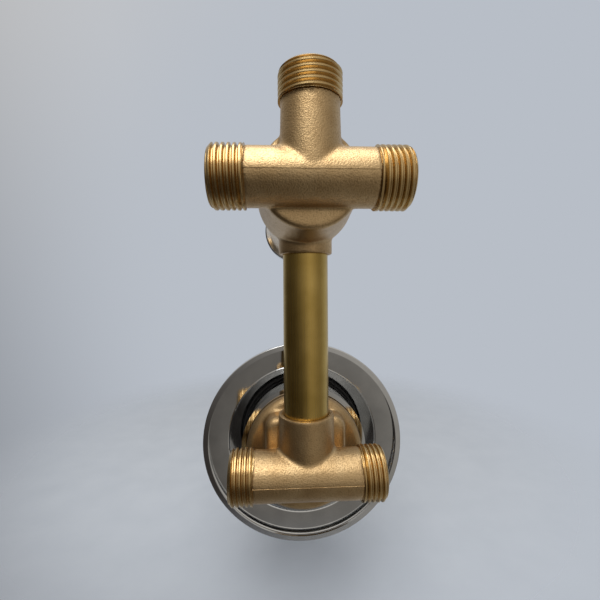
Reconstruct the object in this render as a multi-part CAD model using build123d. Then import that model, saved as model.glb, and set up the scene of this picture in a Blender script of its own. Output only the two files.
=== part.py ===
from build123d import *
from math import cos, radians, sin, sqrt
import os

# A concealed shower valve: a single-lever mixer below, a three-way diverter above, one riser between.
# Millimetres. Y = 0 is the finished wall, -Y the room, +Y the inside of the wall, and Z runs up the riser.
# The mixer's axis is the Y axis. The diverter's axis is parallel to it, diverter_height above.

# Fits
braze_gap = 0.05
running_gap = 0.05
seat_gap = 0.05
moving_gap = 0.3

# G 1/2 male ports, all five alike
thread_radius = 20.955 / 2
thread_lead_in = 1.2
port_bore_radius = 7.25

# Sand casting
casting_draft = 4.0
casting_fillet = 1.6
collar_fillet = 1.2
neck_fillet = 2.0
edge_break = 0.6
contact_reach = 0.001

# Riser
diverter_height = 108.9
riser_axis_y = 26.0
riser_radius = 9.0
riser_wall = 1.0
riser_passage_radius = 7.0

# Mixer casting
inlet_axis_y = 30.0
inlet_half_span = 30.0
inlet_barrel_radius = 9.5
inlet_thread_length = 9.0
inlet_web = 5.0
mixer_collar_radius = 11.1
mixer_collar_foot_radius = 11.5
mixer_collar_rise = 3.9
mixer_socket_depth = 10.0
boss_back_y = 21.5
boss_side_inset = 9.0
boss_top_inset = 7.0
boss_foot_inset = 11.0
boss_corner = 5.0
boss_edge = 2.6
cup_radius = 26.0
cup_back_y = 12.0
cup_front_y = -27.0
cup_back_edge = 3.0
cup_front_edge = 1.5
cup_wall = 3.5

# Mixer cartridge
cartridge_gap = 0.2
mixer_seat_y = 4.0
base_thickness = 7.0
disc_recess = 2.0
disc_thickness = 4.0
fixed_disc_step = 3.0
disc_rim = 1.4
inlet_port = (7.5, -5.5)
outlet_port_z = 7.0
mixer_port_radius = 2.8
outlet_gallery_z = 12.0
outlet_gallery_radius = 3.5
outlet_recess_depth = 10.0
mixing_pocket_depth = 2.0
mixing_pocket_half_width = 10.6
mixing_pocket_foot = 4.6
port_seal_radius = 5.2
port_seal_width = 1.6
port_seal_height = 1.5
carrier_wall = 1.2
carrier_thickness = 6.0
carrier_grip = 2.0
housing_wall = 2.0
housing_front_wall = 2.2
rotor_flange_length = 11.6
rotor_neck_radius = 12.0
rotor_neck_length = 8.0
nut_wall = 2.5
nut_thread_length = 8.0
nut_thread_relief = 1.0
nut_lip = 3.5
nut_lip_radius = 14.5
nut_notch_count = 6
nut_notch_width = 5.0
nut_notch_depth = 2.0
nut_notch_floor = 2.0

# Lever, drawn straight on the mixer's axis and then laid over to its closed tilt
lever_swing = 25.0
pivot_y = -24.0
pivot_pin_radius = 1.5
pivot_pin_half_length = 15.0
ball_arm = 11.5
ball_radius = 3.3
stem_shank_radius = 3.0
stem_shank_length = 5.5
stem_radius = 4.1
stem_square = 8.0
stem_square_start = 14.0
stem_length = 42.0
hub_radius = 19.5
hub_front = 47.0
hub_front_round = 5.0
hub_taper = 1.0
blade_start = 38.0
blade_drop = 8.0
blade_lean = 20.0
blade_length = 58.0
blade_root = (18.0, 10.0)
blade_middle = (14.5, 7.5)
blade_tip = (12.0, 5.5)
blade_edge = 2.4
blade_tip_round = 1.9
set_screw_place = 36.0
set_screw_radius = 2.5
set_screw_length = 8.0
set_screw_key = 2.5
set_screw_key_depth = 3.0
plug_radius = 3.5
plug_depth = 3.0

# Mixer sleeve and escutcheon
sleeve_fit = 0.3
sleeve_wall = 2.1
sleeve_back_y = 6.6
sleeve_mouth_radius = 11.2
sleeve_ring_y = -8.0
sleeve_ring_radius = 0.85
hub_gap = 0.5
plate_radius = 47.0
plate_sheet = 1.0
plate_lip = 2.4
plate_rim_depth = 4.4
plate_face_dish = 1.0
plate_bend = 2.2
plate_lip_edge = 0.4
plate_neck_flare = 5.4
plate_neck_start = 12.0
plate_neck_end = 15.0
plate_bore_gap = 0.4
plate_ring_radius = 0.8

# Diverter casting
outlet_axis_y = 56.4
outlet_half_span = 32.0
outlet_count = 3
outlet_barrel_radius = 9.7
outlet_thread_length = 11.0
outlet_web = 8.4
top_shoulder = 24.1
top_thread_length = 10.3
top_neck_radius = 9.6
top_neck_foot_radius = 10.2
top_bore_floor = 9.5
hub_back_y = 57.0
hub_back_radius = 16.7
flange_radius = 19.05
flange_y = 28.0
flange_thickness = 3.5
neck_radius = 15.7
neck_front_y = 2.0
diverter_collar_radius = 10.7
diverter_collar_drop = 22.3
diverter_socket_depth = 6.0

# Diverter cartridge
diverter_bore_radius = 13.0
diverter_seat_y = 41.0
gasket_thickness = 2.0
selector_port_circle = 7.5
selector_port_radius = 2.8
selector_disc_radius = 11.0
selector_disc_gap = 0.2
cage_floor_y = 16.0
window_start_y = 20.0
window_length = 12.0
window_width = 11.0
bonnet_thread_radius = 13.5
bonnet_thread_length = 8.0
bonnet_hex_flats = 26.0
bonnet_hex_length = 7.0
bonnet_neck_radius = 9.0
bonnet_neck_length = 13.0
bonnet_ring_y = 12.5
bonnet_ring_radius = 0.8
spindle_radius = 5.0
spindle_foot_radius = 10.8
spindle_foot_thickness = 4.0
spindle_collar_radius = 7.0
spindle_dog_radius = 1.5
spindle_dog_length = 2.0
spindle_dog_place = (7.0, -3.0)
spindle_ring_radius = 0.9
spindle_ring_places = (-2.0, -9.0)
circlip_thickness = 1.0
circlip_depth = 0.9
circlip_width = 2.4
circlip_opening = 5.0
circlip_land = 1.0
spline_radius = 4.0
spline_teeth = 20
spline_depth = 0.45
spline_end_y = -46.0
spindle_tapping_radius = 2.1
spindle_tapping_depth = 12.0

# Diverter sleeve and knob
diverter_sleeve_radius = 17.0
diverter_sleeve_wall = 1.1
diverter_sleeve_front_y = -57.0
diverter_sleeve_front_wall = 2.0
sleeve_end_gap = 0.5
knob_radius = 20.0
knob_gap = 0.6
knob_length = 22.0
knob_taper = 0.6
knob_back_edge = 1.0
knob_front_edge = 3.0
knob_boss_radius = 9.0
knob_boss_back_y = -36.0
knob_web = 5.0
knob_recess_radius = 7.0
knob_cap_thickness = 3.0
knob_screw_head_radius = 4.0
knob_screw_head_length = 3.0
knob_screw_length = 14.0
knob_pointer_width = 1.6
knob_pointer_start = 1.5
knob_pointer_length = 8.0
knob_pointer_depth = 0.8

# Places worked out from the sizes above
diverter_axis_move = Pos(0, 0, diverter_height)
lever_rest_tilt = lever_swing / 2
stroke_offset = ball_arm * sin(radians(lever_rest_tilt))
boss_half_width = cup_radius - boss_side_inset
boss_top = cup_radius - boss_top_inset
boss_foot = cup_radius - boss_foot_inset
mixer_collar_top = boss_top + mixer_collar_rise
nut_thread_radius = cup_radius - cup_wall
cartridge_radius = nut_thread_radius - nut_wall
housing_bore_radius = cartridge_radius - housing_wall
mixer_fixed_disc_radius = cartridge_radius - fixed_disc_step
carrier_radius = housing_bore_radius - stroke_offset - moving_gap
mixer_moving_disc_radius = carrier_radius - carrier_wall
base_front_y = mixer_seat_y - base_thickness
fixed_disc_back_y = base_front_y + disc_recess
fixed_disc_front_y = fixed_disc_back_y - disc_thickness
moving_disc_back_y = fixed_disc_front_y - seat_gap
moving_disc_front_y = moving_disc_back_y - disc_thickness
carrier_front_y = moving_disc_front_y - carrier_thickness
rotor_back_y = carrier_front_y - moving_gap
rotor_flange_y = rotor_back_y - rotor_flange_length
rotor_front_y = rotor_flange_y - rotor_neck_length
housing_front_y = rotor_flange_y - moving_gap - housing_front_wall
sleeve_bore_radius = cup_radius + sleeve_fit
sleeve_radius = sleeve_bore_radius + sleeve_wall
sleeve_ring_middle = sleeve_bore_radius - sleeve_ring_radius
plate_bore_radius = sleeve_radius + plate_bore_gap
plate_neck_bore = sleeve_radius + 2 * plate_ring_radius
plug_floor = hub_radius - hub_taper - plug_depth
gasket_front_y = diverter_seat_y - gasket_thickness
selector_fixed_front_y = gasket_front_y - disc_thickness
selector_moving_back_y = selector_fixed_front_y - seat_gap
selector_moving_front_y = selector_moving_back_y - disc_thickness
spindle_foot_front_y = selector_moving_front_y - spindle_foot_thickness
bonnet_hex_front_y = neck_front_y - bonnet_hex_length
bonnet_front_y = bonnet_hex_front_y - bonnet_neck_length
spindle_bore_radius = spindle_radius + running_gap
spindle_ring_middle = spindle_bore_radius - running_gap / 2 - spindle_ring_radius
circlip_back_y = bonnet_front_y - running_gap
circlip_groove_radius = spindle_radius - circlip_depth
knob_back_y = diverter_sleeve_front_y - knob_gap
knob_front_y = knob_back_y - knob_length
knob_web_front_y = spline_end_y - running_gap - knob_web


# Which end of a block along Y is its place
front_end = (Align.CENTER, Align.MIN, Align.CENTER)
back_end = (Align.CENTER, Align.MAX, Align.CENTER)


# Shared shapes
def rod(start, direction, radius, length):
    """A round bar from start along direction."""
    bar = Cylinder(radius, length, align=(Align.CENTER, Align.CENTER, Align.MIN))
    return Plane(origin=start, z_dir=direction) * bar


def turned(*outline):
    """A solid turned about the Y axis. Each point is (radius, y) or (radius, y, corner radius)."""
    points = [point[:2] for point in outline]
    corners = [point[2] if len(point) == 3 else 0 for point in outline]
    return revolve(make_face(FilletPolyline(*points, radius=corners, close=True)), Axis.Y)


def ring(radius, section_radius, y):
    """A round rubber ring about the Y axis."""
    return Pos(0, y, 0) * Rot(90, 0, 0) * Torus(radius, section_radius)


def drilled(x, z, y, radius, length):
    """A round hole along +Y from the plane at y."""
    return rod((x, y, z), (0, 1, 0), radius, length)


def barrel(half_length, radius):
    """A cast barrel along X: two drafted halves that meet in a parting edge at mid height."""
    arc_radius = radius / (1 - sin(radians(casting_draft)))
    half_depth = arc_radius * cos(radians(casting_draft))
    upper = ThreePointArc((-half_depth, 0), (0, radius), (half_depth, 0))
    lower = ThreePointArc((half_depth, 0), (0, -radius), (-half_depth, 0))
    section = Plane.YZ * make_face([upper, lower])
    return extrude(section, half_length, both=True)


def thread_blank(shoulder, direction, length):
    """A spigot at the thread's full diameter, with a lead-in at its end."""
    spigot = rod(shoulder, direction, thread_radius, length)
    end = spigot.edges().group_by(Axis(shoulder, direction))[-1]
    return chamfer(end, thread_lead_in)


def cone(start, direction, foot_radius, top_radius, length):
    """A drafted round neck from start along direction."""
    neck = Cone(foot_radius, top_radius, length, align=(Align.CENTER, Align.CENTER, Align.MIN))
    return Plane(origin=start, z_dir=direction) * neck


def welded(body, piece, radius):
    """Joins a cast piece to a casting and rounds the corner where they meet."""
    joint = body + piece
    corner = []
    for edge in joint.edges():
        middle = Vertex(edge @ 0.5)
        if body.distance_to(middle) < contact_reach and piece.distance_to(middle) < contact_reach:
            corner.append(edge)
    return fillet(corner, radius)


def selector_ports(radius, y, length):
    """The outlet ports, evenly round the axis, the first one on top."""
    ports = []
    for step in range(outlet_count):
        angle = radians(90 + step * 360 / outlet_count)
        x = selector_port_circle * cos(angle)
        z = selector_port_circle * sin(angle)
        ports.append(drilled(x, z, y, radius, length))
    return ports


def laid_over(solid):
    """Tilts a lever piece about the pivot pin to its closed place."""
    return solid.rotate(Axis((0, pivot_y, 0), (1, 0, 0)), lever_rest_tilt)


# Castings and riser
def make_mixer_body():
    side = inlet_half_span - inlet_thread_length
    cup = turned(
        (0, cup_back_y),
        (cup_radius, cup_back_y, cup_back_edge),
        (cup_radius, cup_front_y, cup_front_edge),
        (0, cup_front_y),
    )
    boss_depth = boss_back_y - cup_back_y + cup_back_edge
    boss = Box(2 * boss_half_width, boss_depth, boss_top + boss_foot, align=back_end)
    boss = fillet(boss.edges().filter_by(Axis.Y), boss_corner)
    boss = fillet(boss.faces().sort_by(Axis.Y)[-1].edges(), boss_edge)
    boss_middle = (boss_top - boss_foot) / 2
    body = welded(cup, Pos(0, boss_back_y, boss_middle) * boss, casting_fillet)
    body += Pos(0, inlet_axis_y, 0) * barrel(side, inlet_barrel_radius)
    riser_foot = (0, riser_axis_y, 0)
    collar = cone(riser_foot, (0, 0, 1), mixer_collar_foot_radius, mixer_collar_radius, mixer_collar_top)
    body = welded(body, collar, collar_fillet)
    for way in (-1, 1):
        body += thread_blank((way * side, inlet_axis_y, 0), (way, 0, 0), inlet_thread_length)
    for way in (-1, 1):
        bore_length = inlet_half_span - inlet_web / 2
        body -= rod((way * inlet_web / 2, inlet_axis_y, 0), (way, 0, 0), port_bore_radius, bore_length)
        port_x = way * inlet_port[0]
        body -= drilled(port_x, inlet_port[1], mixer_seat_y, mixer_port_radius, inlet_axis_y - mixer_seat_y)
    socket_floor = mixer_collar_top - mixer_socket_depth
    body -= rod((0, riser_axis_y, socket_floor), (0, 0, 1), riser_radius + braze_gap, mixer_socket_depth)
    passage_floor = outlet_gallery_z - outlet_gallery_radius / 2
    passage_length = mixer_collar_top - passage_floor
    body -= rod((0, riser_axis_y, passage_floor), (0, 0, 1), riser_passage_radius, passage_length)
    body -= drilled(0, outlet_gallery_z, mixer_seat_y, outlet_gallery_radius, riser_axis_y - mixer_seat_y)
    recess_height = outlet_gallery_z - outlet_port_z + 2 * mixer_port_radius
    recess = extrude(SlotOverall(recess_height, 2 * mixer_port_radius, rotation=90), outlet_recess_depth)
    recess_middle = (outlet_gallery_z + outlet_port_z) / 2
    body -= Pos(0, mixer_seat_y + outlet_recess_depth, recess_middle) * Rot(90, 0, 0) * recess
    bore = cartridge_radius + cartridge_gap
    body -= drilled(0, 0, cup_front_y, bore, mixer_seat_y - cup_front_y)
    body -= drilled(0, 0, cup_front_y, nut_thread_radius, nut_thread_length)
    return body - ring(sleeve_ring_middle, sleeve_ring_radius, sleeve_ring_y)


def make_riser_pipe():
    foot = mixer_collar_top - mixer_socket_depth
    head = diverter_height - diverter_collar_drop + diverter_socket_depth
    pipe = rod((0, riser_axis_y, foot), (0, 0, 1), riser_radius, head - foot)
    return pipe - rod((0, riser_axis_y, foot), (0, 0, 1), riser_radius - riser_wall, head - foot)


def make_diverter_body():
    side = outlet_half_span - outlet_thread_length
    neck = cone((0, outlet_axis_y, 0), (0, 0, 1), top_neck_foot_radius, top_neck_radius, top_shoulder)
    body = welded(Pos(0, outlet_axis_y, 0) * barrel(side, outlet_barrel_radius), neck, neck_fillet)
    body += turned(
        (0, hub_back_y),
        (hub_back_radius, hub_back_y, casting_fillet),
        (flange_radius, flange_y),
        (flange_radius, flange_y - flange_thickness),
        (neck_radius, flange_y - flange_thickness),
        (neck_radius, neck_front_y),
        (0, neck_front_y),
    )
    socket = (0, riser_axis_y, -diverter_collar_drop)
    collar = rod(socket, (0, 0, 1), diverter_collar_radius, diverter_collar_drop)
    body = welded(body, collar, collar_fillet)
    for way in (-1, 1):
        body += thread_blank((way * side, outlet_axis_y, 0), (way, 0, 0), outlet_thread_length)
    body += thread_blank((0, outlet_axis_y, top_shoulder), (0, 0, 1), top_thread_length)
    for way in (-1, 1):
        bore_length = outlet_half_span - outlet_web / 2
        body -= rod((way * outlet_web / 2, outlet_axis_y, 0), (way, 0, 0), port_bore_radius, bore_length)
    top_end = top_shoulder + top_thread_length
    body -= rod((0, outlet_axis_y, top_bore_floor), (0, 0, 1), port_bore_radius, top_end - top_bore_floor)
    gallery_floor = selector_port_circle - selector_port_radius / 2
    gallery_length = top_bore_floor - gallery_floor
    body -= rod((0, outlet_axis_y, gallery_floor), (0, 0, 1), selector_port_radius, gallery_length)
    for port in selector_ports(selector_port_radius, diverter_seat_y, outlet_axis_y - diverter_seat_y):
        body -= port
    body -= drilled(0, 0, neck_front_y, diverter_bore_radius, diverter_seat_y - neck_front_y)
    body -= drilled(0, 0, neck_front_y, bonnet_thread_radius, bonnet_thread_length)
    body -= rod(socket, (0, 0, 1), riser_radius + braze_gap, diverter_socket_depth)
    body -= rod(socket, (0, 0, 1), riser_passage_radius, diverter_collar_drop)
    return diverter_axis_move * body


# Mixer cartridge
def port_places():
    return [(-inlet_port[0], inlet_port[1]), (inlet_port[0], inlet_port[1]), (0, outlet_port_z)]


def make_mixer_port_seals():
    seals = []
    front_y = mixer_seat_y - port_seal_height
    hole_radius = port_seal_radius - port_seal_width
    for x, z in port_places():
        seal = drilled(x, z, front_y, port_seal_radius, port_seal_height)
        seals.append(seal - drilled(x, z, front_y, hole_radius, port_seal_height))
    return Compound(children=seals)


def make_mixer_cartridge_base():
    base = drilled(0, 0, base_front_y, cartridge_radius, base_thickness)
    base -= drilled(0, 0, base_front_y, mixer_fixed_disc_radius + seat_gap, disc_recess)
    for x, z in port_places():
        base -= drilled(x, z, mixer_seat_y - port_seal_height, port_seal_radius, port_seal_height)
        base -= drilled(x, z, base_front_y, mixer_port_radius, base_thickness)
    return base


def make_mixer_fixed_disc():
    disc = drilled(0, 0, fixed_disc_front_y, mixer_fixed_disc_radius, disc_thickness)
    for x, z in port_places():
        disc -= drilled(x, z, fixed_disc_front_y, mixer_port_radius, disc_thickness)
    return disc


def make_mixer_moving_disc():
    disc = drilled(0, 0, moving_disc_front_y, mixer_moving_disc_radius, disc_thickness)
    land_radius = mixer_moving_disc_radius - disc_rim
    pocket = drilled(0, 0, moving_disc_back_y - mixing_pocket_depth, land_radius, mixing_pocket_depth)
    window_height = mixing_pocket_foot + land_radius
    window = Box(2 * mixing_pocket_half_width, 2 * disc_thickness, window_height)
    pocket &= Pos(0, moving_disc_back_y, (land_radius - mixing_pocket_foot) / 2) * window
    return Pos(0, 0, stroke_offset) * (disc - pocket)


def make_mixer_disc_carrier():
    carrier = drilled(0, 0, carrier_front_y, carrier_radius, carrier_thickness + carrier_grip)
    carrier -= drilled(0, 0, moving_disc_front_y, mixer_moving_disc_radius, carrier_grip)
    carrier -= drilled(0, 0, carrier_front_y, ball_radius + moving_gap, carrier_thickness)
    return Pos(0, 0, stroke_offset) * carrier


def make_mixer_rotor():
    rotor = drilled(0, 0, rotor_flange_y, housing_bore_radius - moving_gap, rotor_flange_length)
    rotor += drilled(0, 0, rotor_front_y, rotor_neck_radius, rotor_neck_length)
    slot_width = 2 * (stem_radius + moving_gap)
    mouth = (pivot_y - rotor_front_y) * sin(radians(lever_rest_tilt)) + stem_radius + moving_gap
    slot = Box(slot_width, rotor_back_y - rotor_front_y, 2 * mouth, align=front_end)
    rotor -= Pos(0, rotor_front_y, 0) * slot
    bore_length = 2 * housing_bore_radius
    return rotor - rod((-housing_bore_radius, pivot_y, 0), (1, 0, 0), pivot_pin_radius, bore_length)


def make_mixer_pivot_pin():
    return rod((-pivot_pin_half_length, pivot_y, 0), (1, 0, 0), pivot_pin_radius, 2 * pivot_pin_half_length)


def make_mixer_cartridge_housing():
    opening = rotor_neck_radius + moving_gap
    inner_front_y = housing_front_y + housing_front_wall
    return turned(
        (housing_bore_radius, base_front_y),
        (cartridge_radius, base_front_y),
        (cartridge_radius, housing_front_y, edge_break),
        (opening, housing_front_y),
        (opening, inner_front_y),
        (housing_bore_radius, inner_front_y),
    )


def make_mixer_cartridge_nut():
    front_y = housing_front_y - nut_lip
    outside = nut_thread_radius - seat_gap
    inside = cartridge_radius + cartridge_gap
    back_y = cup_front_y + nut_thread_length - nut_thread_relief
    nut = turned(
        (inside, back_y),
        (outside, back_y),
        (outside, front_y, edge_break),
        (nut_lip_radius, front_y),
        (nut_lip_radius, housing_front_y),
        (inside, housing_front_y),
    )
    notch = Box(nut_notch_width, nut_notch_depth, outside, align=(Align.CENTER, Align.MIN, Align.MIN))
    notch = Pos(0, front_y, nut_lip_radius + nut_notch_floor) * notch
    for step in range(nut_notch_count):
        nut -= Rot(0, step * 360 / nut_notch_count, 0) * notch
    return nut


# Lever
def make_mixer_lever_stem():
    stem = Pos(0, pivot_y + ball_arm, 0) * Sphere(ball_radius)
    shank_front_y = pivot_y + ball_arm - stem_shank_length
    stem += drilled(0, 0, shank_front_y, stem_shank_radius, stem_shank_length)
    square_y = pivot_y - stem_square_start
    stem += drilled(0, 0, square_y, stem_radius, shank_front_y - square_y)
    square_length = stem_length - stem_square_start
    square = Box(stem_square, square_length, stem_square, align=back_end)
    stem += Pos(0, square_y, 0) * chamfer(square.faces().sort_by(Axis.Y)[0].edges(), edge_break)
    hole = rod((-stem_radius, pivot_y, 0), (1, 0, 0), pivot_pin_radius + running_gap, 2 * stem_radius)
    return laid_over(stem - hole)


def make_lever_handle():
    front_y = pivot_y - hub_front
    handle = turned(
        (0, pivot_y - sleeve_radius + hub_radius / 2),
        (hub_radius, pivot_y - sleeve_radius + hub_radius / 2),
        (hub_radius - hub_taper, front_y, hub_front_round),
        (0, front_y),
    )
    sections = []
    for part_way, size in ((0, blade_root), (0.5, blade_middle), (1, blade_tip)):
        outline = RectangleRounded(size[0], size[1], blade_edge)
        sections.append(Pos(0, 0, part_way * blade_length) * outline)
    blade = loft(sections)
    blade = fillet(blade.faces().sort_by(Axis.Z)[-1].edges(), blade_tip_round)
    down = Rot(180 - blade_lean, 0, 0)
    handle += Pos(0, pivot_y - blade_start, -blade_drop) * down * blade
    handle -= Pos(0, pivot_y, 0) * Sphere(sleeve_radius + hub_gap)
    socket_side = stem_square + 2 * seat_gap
    socket_end = stem_length + seat_gap
    socket = Box(socket_side, socket_end, socket_side, align=back_end)
    handle -= Pos(0, pivot_y, 0) * socket
    screw_y = pivot_y - set_screw_place
    handle -= rod((0, screw_y, 0), (0, 0, 1), set_screw_radius, hub_radius)
    handle -= rod((0, screw_y, plug_floor), (0, 0, 1), plug_radius, hub_radius)
    return laid_over(handle)


def make_handle_set_screw():
    screw_y = pivot_y - set_screw_place
    screw_foot = (0, screw_y, stem_square / 2)
    screw = rod(screw_foot, (0, 0, 1), set_screw_radius - seat_gap, set_screw_length)
    key = extrude(RegularPolygon(set_screw_key / sqrt(3), 6), set_screw_key_depth)
    key_floor = stem_square / 2 + set_screw_length - set_screw_key_depth
    return laid_over(screw - Pos(0, screw_y, key_floor) * key)


def make_handle_plug():
    plug = rod((0, pivot_y - set_screw_place, plug_floor), (0, 0, 1), plug_radius - seat_gap, plug_depth)
    return laid_over(fillet(plug.edges().group_by(Axis.Z)[-1], edge_break))


# Mixer sleeve and escutcheon
def make_sleeve_o_ring():
    return ring(sleeve_ring_middle, sleeve_ring_radius, sleeve_ring_y)


def dome(radius):
    """Half a ball about the lever's pivot, on the room side."""
    half = Sphere(radius, arc_size1=0, align=(Align.CENTER, Align.CENTER, Align.MIN))
    return Pos(0, pivot_y, 0) * Rot(90, 0, 0) * half


def make_mixer_sleeve():
    shell = drilled(0, 0, pivot_y, sleeve_radius, sleeve_back_y - pivot_y) + dome(sleeve_radius)
    shell -= drilled(0, 0, pivot_y, sleeve_bore_radius, sleeve_back_y - pivot_y) + dome(sleeve_bore_radius)
    return shell - drilled(0, 0, pivot_y - 2 * sleeve_radius, sleeve_mouth_radius, 2 * sleeve_radius)


def make_escutcheon():
    face_y = -plate_rim_depth - plate_face_dish
    neck_outside = plate_neck_bore + plate_sheet
    inner_bend = plate_bend - plate_sheet
    return turned(
        (plate_radius - plate_lip, 0),
        (plate_radius, 0, plate_lip_edge),
        (plate_radius, -plate_rim_depth, plate_bend),
        (neck_outside + plate_neck_flare, face_y, plate_bend),
        (neck_outside, -plate_neck_start, inner_bend),
        (neck_outside, -plate_neck_end, plate_lip_edge),
        (plate_bore_radius, -plate_neck_end),
        (plate_bore_radius, plate_sheet - plate_neck_end),
        (plate_neck_bore, plate_sheet - plate_neck_end),
        (plate_neck_bore, plate_sheet / 2 - plate_neck_start),
        (plate_neck_bore + plate_neck_flare, face_y + plate_sheet, inner_bend),
        (plate_radius - plate_sheet, plate_sheet - plate_rim_depth, inner_bend),
        (plate_radius - plate_sheet, -plate_sheet),
        (plate_radius - plate_lip, -plate_sheet),
    )


def make_escutcheon_o_ring():
    ring_y = plate_sheet - plate_neck_end + plate_ring_radius
    return ring(sleeve_radius + plate_ring_radius, plate_ring_radius, ring_y)


# Diverter cartridge
def make_diverter_seat_gasket():
    gasket = drilled(0, 0, gasket_front_y, diverter_bore_radius - seat_gap, gasket_thickness)
    for port in selector_ports(selector_port_radius, gasket_front_y, gasket_thickness):
        gasket -= port
    return diverter_axis_move * gasket


def make_diverter_fixed_disc():
    disc = drilled(0, 0, selector_fixed_front_y, selector_disc_radius, disc_thickness)
    for port in selector_ports(selector_port_radius, selector_fixed_front_y, disc_thickness):
        disc -= port
    return diverter_axis_move * disc


def spindle_dogs(radius):
    dogs = []
    for way in (-1, 1):
        x, z = way * spindle_dog_place[0], spindle_dog_place[1]
        dogs.append(drilled(x, z, selector_moving_front_y, radius, spindle_dog_length))
    return dogs


def make_diverter_moving_disc():
    disc = drilled(0, 0, selector_moving_front_y, selector_disc_radius, disc_thickness)
    disc -= selector_ports(selector_port_radius, selector_moving_front_y, disc_thickness)[0]
    for socket in spindle_dogs(spindle_dog_radius + seat_gap):
        disc -= socket
    return diverter_axis_move * disc


def make_diverter_bonnet():
    cage = diverter_bore_radius - seat_gap
    thread_y = neck_front_y + bonnet_thread_length
    bonnet = drilled(0, 0, thread_y, cage, gasket_front_y - thread_y)
    bonnet += drilled(0, 0, neck_front_y, bonnet_thread_radius - seat_gap, bonnet_thread_length)
    hexagon = extrude(RegularPolygon(bonnet_hex_flats / sqrt(3), 6), bonnet_hex_length)
    bonnet += Pos(0, neck_front_y, 0) * Rot(90, 0, 0) * hexagon
    bonnet += drilled(0, 0, bonnet_front_y, bonnet_neck_radius, bonnet_neck_length)
    cavity = selector_disc_radius + selector_disc_gap
    bonnet -= drilled(0, 0, cage_floor_y, cavity, gasket_front_y - cage_floor_y)
    bonnet -= drilled(0, 0, bonnet_front_y, spindle_bore_radius, cage_floor_y - bonnet_front_y)
    window = Box(window_width, window_length, cage, align=(Align.CENTER, Align.MIN, Align.MAX))
    for step in range(outlet_count):
        bonnet -= Rot(0, step * 360 / outlet_count, 0) * Pos(0, window_start_y, 0) * window
    bonnet -= ring(diverter_bore_radius - bonnet_ring_radius, bonnet_ring_radius, bonnet_ring_y)
    return diverter_axis_move * bonnet


def make_bonnet_o_ring():
    bonnet_ring = ring(diverter_bore_radius - bonnet_ring_radius, bonnet_ring_radius, bonnet_ring_y)
    return diverter_axis_move * bonnet_ring


def spline_outline(radius):
    """A toothed round section on the XZ plane."""
    points = []
    for tooth in range(spline_teeth):
        for part, reach in ((0, radius), (0.5, radius - spline_depth)):
            angle = radians((tooth + part) * 360 / spline_teeth)
            points.append((reach * cos(angle), reach * sin(angle)))
    return make_face(Polyline(*points, close=True))


def make_diverter_spindle():
    spindle = drilled(0, 0, spindle_foot_front_y, spindle_foot_radius, spindle_foot_thickness)
    collar_y = cage_floor_y + running_gap
    spindle += drilled(0, 0, collar_y, spindle_collar_radius, spindle_foot_front_y - cage_floor_y)
    circlip_front_y = circlip_back_y - circlip_thickness
    shaft_front_y = circlip_front_y - circlip_land
    spindle += drilled(0, 0, shaft_front_y, spindle_radius, spindle_foot_front_y - shaft_front_y)
    spline = extrude(spline_outline(spline_radius), shaft_front_y - spline_end_y)
    spindle += Pos(0, shaft_front_y, 0) * Rot(90, 0, 0) * spline
    for dog in spindle_dogs(spindle_dog_radius):
        spindle += dog
    waterway = selector_port_radius + 2 * selector_disc_gap
    spindle -= drilled(0, selector_port_circle, spindle_foot_front_y, waterway, spindle_foot_thickness)
    groove = drilled(0, 0, circlip_front_y, 2 * spindle_radius, circlip_thickness)
    spindle -= groove - drilled(0, 0, circlip_front_y, circlip_groove_radius, circlip_thickness)
    for y in spindle_ring_places:
        spindle -= ring(spindle_ring_middle, spindle_ring_radius, y)
    spindle -= drilled(0, 0, spline_end_y, spindle_tapping_radius, spindle_tapping_depth)
    return diverter_axis_move * spindle


def make_spindle_o_rings():
    rings = []
    for y in spindle_ring_places:
        rings.append(diverter_axis_move * ring(spindle_ring_middle, spindle_ring_radius, y))
    return Compound(children=rings)


def make_spindle_circlip():
    front_y = circlip_back_y - circlip_thickness
    clip = drilled(0, 0, front_y, circlip_groove_radius + circlip_width, circlip_thickness)
    clip -= drilled(0, 0, front_y, circlip_groove_radius, circlip_thickness)
    reach = circlip_groove_radius + circlip_width
    opening = Box(circlip_opening, circlip_thickness, reach, align=(Align.CENTER, Align.MIN, Align.MAX))
    return diverter_axis_move * (clip - Pos(0, front_y, 0) * opening)


# Diverter sleeve and knob
def make_diverter_sleeve():
    inside = diverter_sleeve_radius - diverter_sleeve_wall
    opening = knob_boss_radius + moving_gap
    back_y = riser_axis_y - diverter_collar_radius - sleeve_end_gap
    front_wall_y = diverter_sleeve_front_y + diverter_sleeve_front_wall
    sleeve = turned(
        (inside, back_y),
        (diverter_sleeve_radius, back_y),
        (diverter_sleeve_radius, diverter_sleeve_front_y, edge_break),
        (opening, diverter_sleeve_front_y),
        (opening, front_wall_y),
        (inside, front_wall_y),
    )
    return diverter_axis_move * sleeve


def make_diverter_knob():
    knob = turned(
        (0, knob_back_y),
        (knob_radius, knob_back_y, knob_back_edge),
        (knob_radius - knob_taper, knob_front_y, knob_front_edge),
        (0, knob_front_y),
    )
    knob += drilled(0, 0, knob_back_y, knob_boss_radius, knob_boss_back_y - knob_back_y)
    socket_end_y = spline_end_y - running_gap
    knob -= drilled(0, 0, socket_end_y, spline_radius + seat_gap, knob_boss_back_y - socket_end_y)
    knob -= drilled(0, 0, knob_front_y, spindle_tapping_radius + 2 * seat_gap, socket_end_y - knob_front_y)
    knob -= drilled(0, 0, knob_front_y, knob_recess_radius, knob_web_front_y - knob_front_y)
    pointer = Box(knob_pointer_width, 2 * knob_pointer_depth, knob_pointer_length)
    pointer_middle = knob_recess_radius + knob_pointer_start + knob_pointer_length / 2
    knob -= Pos(0, knob_front_y, pointer_middle) * pointer
    return diverter_axis_move * knob


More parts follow.
